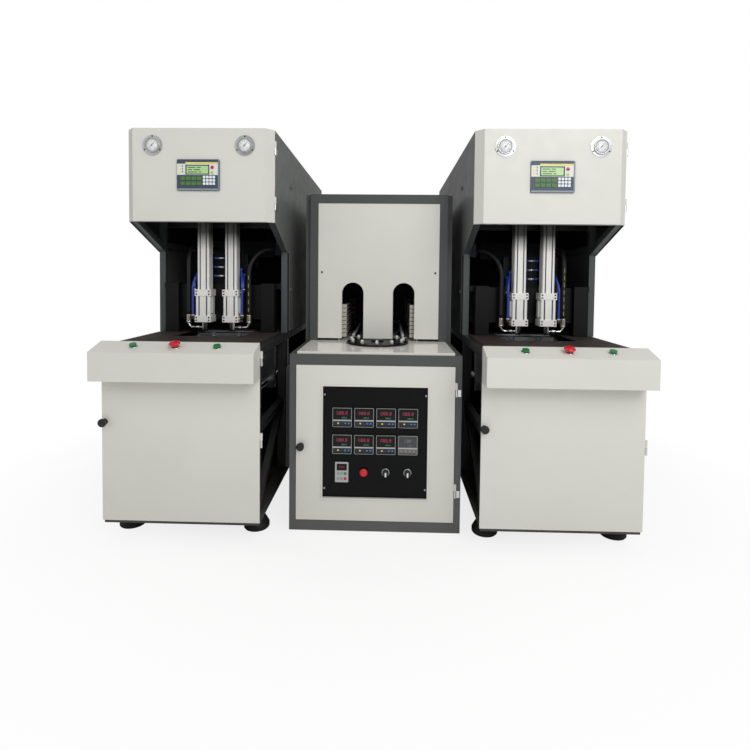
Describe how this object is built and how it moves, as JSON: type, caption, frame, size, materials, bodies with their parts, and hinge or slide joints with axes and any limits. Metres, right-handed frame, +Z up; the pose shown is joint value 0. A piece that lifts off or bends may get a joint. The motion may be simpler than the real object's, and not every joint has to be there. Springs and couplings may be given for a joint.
{
  "type": "blow moulding machine",
  "caption": "Semi-automatic blow moulding line: a preform heater between two blowing stations with clamps, moulds, blowing heads, doors and controls.",
  "frame": {"origin": "on the floor, in the middle of the outline of the line", "axes": "+X along the line to the right as the operator sees it, +Y away from the operator, +Z up"},
  "size_m": [2.216, 1.884, 1.745],
  "materials": {
    "black_anodised": "black anodised",
    "black_plastic": "satin",
    "black_rubber": "matte",
    "blackened_steel": "blackened",
    "blue_plastic": "gloss",
    "chromed_metal": "polished",
    "cylinder_aluminium": "anodised",
    "dark_frame_paint": "satin",
    "green_plastic": "gloss",
    "grey_powder_coat": "satin",
    "ground_steel": "ground",
    "ivory_gloss": "gloss",
    "ivory_powder_coat": "satin",
    "machined_steel": "machined",
    "mould_aluminium": "machined",
    "oiled_steel": "oiled",
    "polished_aluminium": "polished",
    "quartz_glass": "clear",
    "red_plastic": "gloss",
    "slate_plastic": "satin"
  },
  "bodies": {
    "root": {"left_base_frame": "dark_frame_paint", "right_base_frame": "dark_frame_paint", "upper_frames": "dark_frame_paint", "cabinet_skins": "grey_powder_coat", "side_panels": "grey_powder_coat", "bed_plates": "oiled_steel", "guide_rods": "ground_steel", "guide_plates": "machined_steel", "levelling_feet": "black_rubber", "hinges": "chromed_metal", "stretch_cylinders": "cylinder_aluminium", "seal_cylinders": "cylinder_aluminium", "cylinder_columns": "dark_frame_paint", "blow_hoses": "black_rubber", "air_tubes": "blue_plastic", "air_manifolds": "black_anodised", "heater_cabinet": "grey_powder_coat", "heater_shelf": "ivory_gloss", "oven_hood": "grey_powder_coat", "oven_front_panel": "ivory_powder_coat", "carrier_chain": "blackened_steel", "heating_lamps": "quartz_glass", "reflectors": "polished_aluminium"},
    "left_head_cover": {"left_head_cover": "ivory_powder_coat", "left_pressure_gauges": "chromed_metal", "left_operating_panel": "slate_plastic"},
    "left_front_door": {"left_front_door": "ivory_powder_coat", "left_door_knob": "black_plastic"},
    "left_left_button": {"left_station_left_start_button": "green_plastic"},
    "left_right_button": {"left_station_right_start_button": "green_plastic"},
    "left_emergency_stop": {"left_emergency_stop": "red_plastic"},
    "left_front_clamp": {"left_clamp_yoke": "machined_steel", "left_front_mould": "mould_aluminium"},
    "left_rear_clamp": {"left_rear_platen": "machined_steel", "left_rear_mould": "mould_aluminium"},
    "left_stretch_rods": {"left_stretch_rods": "chromed_metal"},
    "left_blow_nozzles": {"left_blow_nozzles": "machined_steel"},
    "right_head_cover": {"right_head_cover": "ivory_powder_coat", "right_pressure_gauges": "chromed_metal", "right_operating_panel": "slate_plastic"},
    "right_front_door": {"right_front_door": "ivory_powder_coat", "right_door_knob": "black_plastic"},
    "right_left_button": {"right_station_left_start_button": "green_plastic"},
    "right_right_button": {"right_station_right_start_button": "green_plastic"},
    "right_emergency_stop": {"right_emergency_stop": "red_plastic"},
    "right_front_clamp": {"right_clamp_yoke": "machined_steel", "right_front_mould": "mould_aluminium"},
    "right_rear_clamp": {"right_rear_platen": "machined_steel", "right_rear_mould": "mould_aluminium"},
    "right_stretch_rods": {"right_stretch_rods": "chromed_metal"},
    "right_blow_nozzles": {"right_blow_nozzles": "machined_steel"},
    "heater_door": {"heater_door": "ivory_powder_coat", "control_panel": "black_plastic", "panel_instruments": "black_plastic", "heater_door_knob": "black_plastic"},
    "stop_button": {"stop_button": "red_plastic"},
    "heating_switch": {"heating_switch": "black_plastic"},
    "drive_switch": {"drive_switch": "black_plastic"},
    "carrier_wheel": {"carrier_wheel": "blackened_steel"},
    "rear_wheel": {"rear_wheel": "blackened_steel"}
  },
  "joints": [
    {"name": "left_head_cover_hinge", "type": "hinge", "parent": "root", "child": "left_head_cover", "pos_m": [-0.441, -0.607, 1.541], "axis": [0, 0, 1], "range_deg": [0, 100]},
    {"name": "left_front_door_hinge", "type": "hinge", "parent": "root", "child": "left_front_door", "pos_m": [-0.441, -0.842, 0.45], "axis": [0, 0, 1], "range_deg": [0, 100]},
    {"name": "left_left_button_push", "type": "slide", "parent": "left_front_door", "child": "left_left_button", "axis": [0, 0.3133, -0.9497], "range_m": [0, 0.004], "stiffness_N_per_m": 600, "springref_m": -0.002},
    {"name": "left_right_button_push", "type": "slide", "parent": "left_front_door", "child": "left_right_button", "axis": [0, 0.3133, -0.9497], "range_m": [0, 0.004], "stiffness_N_per_m": 600, "springref_m": -0.002},
    {"name": "left_emergency_stop_push", "type": "slide", "parent": "left_front_door", "child": "left_emergency_stop", "axis": [0, 0.3133, -0.9497], "range_m": [0, 0.005], "stiffness_N_per_m": 800, "springref_m": -0.004},
    {"name": "left_clamp", "type": "slide", "parent": "root", "child": "left_front_clamp", "axis": [0, 1, 0], "range_m": [0, 0.11]},
    {"name": "left_clamp_follow", "type": "slide", "parent": "root", "child": "left_rear_clamp", "axis": [0, -1, 0], "range_m": [0, 0.11]},
    {"name": "left_stretch", "type": "slide", "parent": "root", "child": "left_stretch_rods", "axis": [0, 0, -1], "range_m": [0, 0.261]},
    {"name": "left_nozzle_drop", "type": "slide", "parent": "root", "child": "left_blow_nozzles", "axis": [0, 0, -1], "range_m": [0, 0.0235]},
    {"name": "right_head_cover_hinge", "type": "hinge", "parent": "root", "child": "right_head_cover", "pos_m": [1.103, -0.607, 1.541], "axis": [0, 0, 1], "range_deg": [0, 100]},
    {"name": "right_front_door_hinge", "type": "hinge", "parent": "root", "child": "right_front_door", "pos_m": [1.103, -0.842, 0.45], "axis": [0, 0, 1], "range_deg": [0, 100]},
    {"name": "right_left_button_push", "type": "slide", "parent": "right_front_door", "child": "right_left_button", "axis": [0, 0.3133, -0.9497], "range_m": [0, 0.004], "stiffness_N_per_m": 600, "springref_m": -0.002},
    {"name": "right_right_button_push", "type": "slide", "parent": "right_front_door", "child": "right_right_button", "axis": [0, 0.3133, -0.9497], "range_m": [0, 0.004], "stiffness_N_per_m": 600, "springref_m": -0.002},
    {"name": "right_emergency_stop_push", "type": "slide", "parent": "right_front_door", "child": "right_emergency_stop", "axis": [0, 0.3133, -0.9497], "range_m": [0, 0.005], "stiffness_N_per_m": 800, "springref_m": -0.004},
    {"name": "right_clamp", "type": "slide", "parent": "root", "child": "right_front_clamp", "axis": [0, 1, 0], "range_m": [0, 0.11]},
    {"name": "right_clamp_follow", "type": "slide", "parent": "root", "child": "right_rear_clamp", "axis": [0, -1, 0], "range_m": [0, 0.11]},
    {"name": "right_stretch", "type": "slide", "parent": "root", "child": "right_stretch_rods", "axis": [0, 0, -1], "range_m": [0, 0.261]},
    {"name": "right_nozzle_drop", "type": "slide", "parent": "root", "child": "right_blow_nozzles", "axis": [0, 0, -1], "range_m": [0, 0.0235]},
    {"name": "heater_door_hinge", "type": "hinge", "parent": "root", "child": "heater_door", "pos_m": [0.364, -0.723, 0.38], "axis": [0, 0, 1], "range_deg": [0, 90]},
    {"name": "stop_button_push", "type": "slide", "parent": "heater_door", "child": "stop_button", "axis": [0, 1, 0], "range_m": [0, 0.004], "stiffness_N_per_m": 600, "springref_m": -0.002},
    {"name": "heating_switch_turn", "type": "hinge", "parent": "heater_door", "child": "heating_switch", "pos_m": [0.06525, -0.71, 0.257], "axis": [0, -1, 0], "range_deg": [-45, 45]},
    {"name": "drive_switch_turn", "type": "hinge", "parent": "heater_door", "child": "drive_switch", "pos_m": [0.15975, -0.71, 0.257], "axis": [0, -1, 0], "range_deg": [-45, 45]},
    {"name": "carrier_wheel_turn", "type": "hinge", "parent": "root", "child": "carrier_wheel", "pos_m": [0.018, -0.403, 0.779], "axis": [0, 0, 1], "continuous": true},
    {"name": "rear_wheel_turn", "type": "hinge", "parent": "root", "child": "rear_wheel", "pos_m": [0.018, 0.595, 0.779], "axis": [0, 0, 1], "continuous": true}
  ],
  "couplings": [
    {"joint": "left_clamp_follow", "follows": "left_clamp", "ratio": 1},
    {"joint": "right_clamp_follow", "follows": "right_clamp", "ratio": 1},
    {"joint": "rear_wheel_turn", "follows": "carrier_wheel_turn", "ratio": 1}
  ]
}
